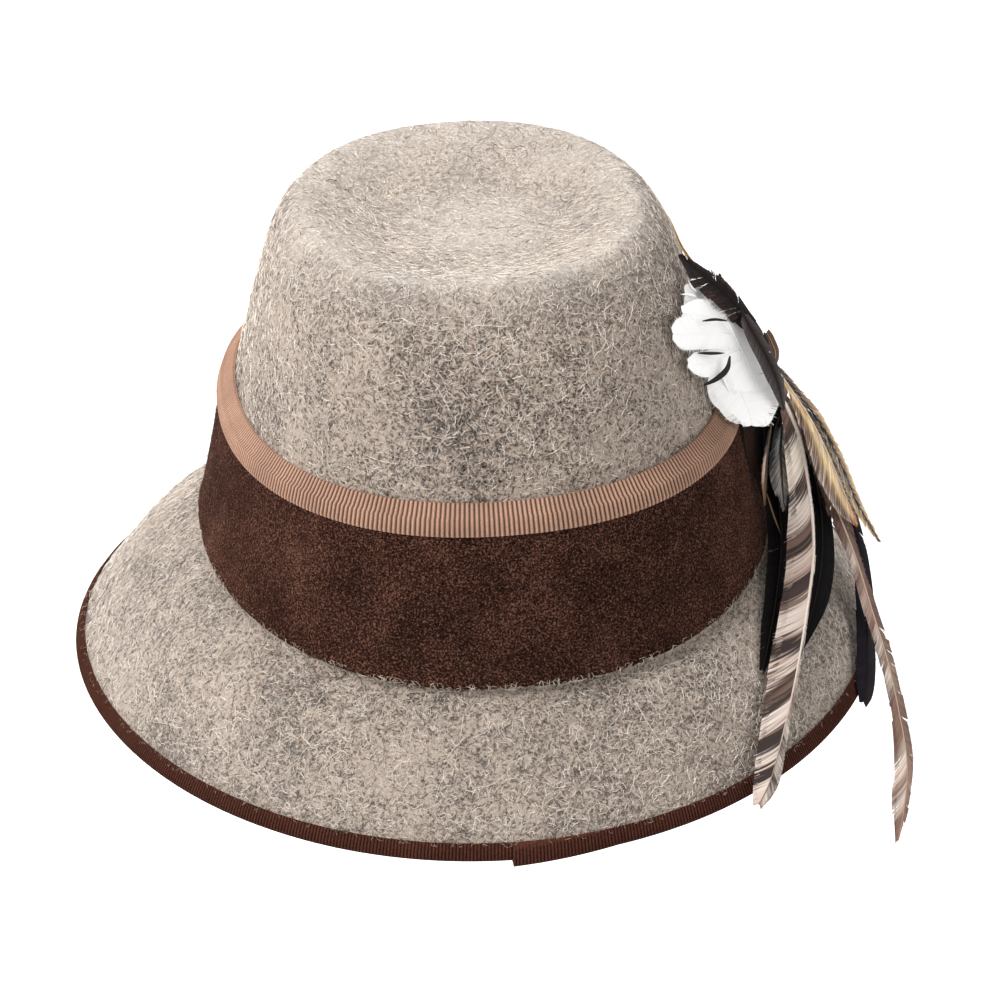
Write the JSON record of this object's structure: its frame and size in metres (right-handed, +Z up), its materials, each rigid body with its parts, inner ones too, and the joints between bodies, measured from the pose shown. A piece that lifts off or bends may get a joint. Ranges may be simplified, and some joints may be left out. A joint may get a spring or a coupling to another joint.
{
  "type": "feathered felt hat",
  "caption": "Women's felt hat with a dished crown, a bell brim with a bound edge, a wide wool band, a ribbed ribbon and a bunch of hanging feathers.",
  "frame": {"origin": "middle of the head opening, level with the line where the crown wall turns out into the brim", "axes": "+Z up along the crown, +Y to the wearer's front, +X to the wearer's right, where the feathers are"},
  "size_m": [0.2636, 0.2796, 0.2103],
  "materials": {
    "felt": "matt mottled wool felt",
    "wool": "matt brushed wool",
    "grosgrain": "ribbed satin",
    "binding": "ribbed matt",
    "pad": "matt felt",
    "white_feather": "satin",
    "black_feather": "glossy",
    "golden_feather": "satin",
    "brown_feather": "satin",
    "barred_feather": "satin"
  },
  "bodies": {
    "root": {"felt_body": "felt", "wool_band": "wool", "ribbon": "grosgrain", "brim_binding": "binding", "feather_pad": "pad", "white_feathers": "white_feather", "upper_black_feather": "black_feather", "lower_black_feather": "black_feather", "upper_golden_feather": "golden_feather", "golden_hackles": "golden_feather", "long_brown_feather": "brown_feather", "blunt_black_feather": "black_feather", "curved_black_feather": "black_feather", "long_barred_feather": "barred_feather", "hidden_black_feather": "black_feather", "spotted_feather": "barred_feather", "small_golden_feather": "golden_feather", "brown_stub_feather": "brown_feather"}
  },
  "joints": []
}
